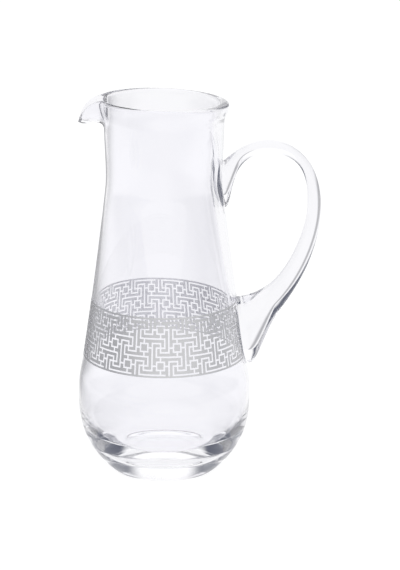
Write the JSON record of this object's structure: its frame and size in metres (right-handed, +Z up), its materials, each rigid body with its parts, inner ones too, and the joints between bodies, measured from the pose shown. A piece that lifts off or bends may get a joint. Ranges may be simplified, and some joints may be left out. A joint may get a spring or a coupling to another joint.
{
  "type": "glass jug",
  "caption": "Tall clear glass water jug with a heavy base, a tapering body, a pulled pouring lip, an applied loop handle and a printed platinum fret band.",
  "frame": {"origin": "centre of the flat foot, on the table that the jug stands on", "axes": "+Z up along the body's axis, +X towards the handle, -X towards the pouring lip"},
  "size_m": [0.1602, 0.115, 0.251],
  "materials": {
    "body_glass": "clear, fire polished",
    "handle_glass": "clear, fire polished",
    "platinum": "thin fired-on platinum print, soft bright"
  },
  "bodies": {
    "root": {"glass_body": "body_glass", "glass_handle": "handle_glass", "platinum_band": "platinum"}
  },
  "joints": []
}
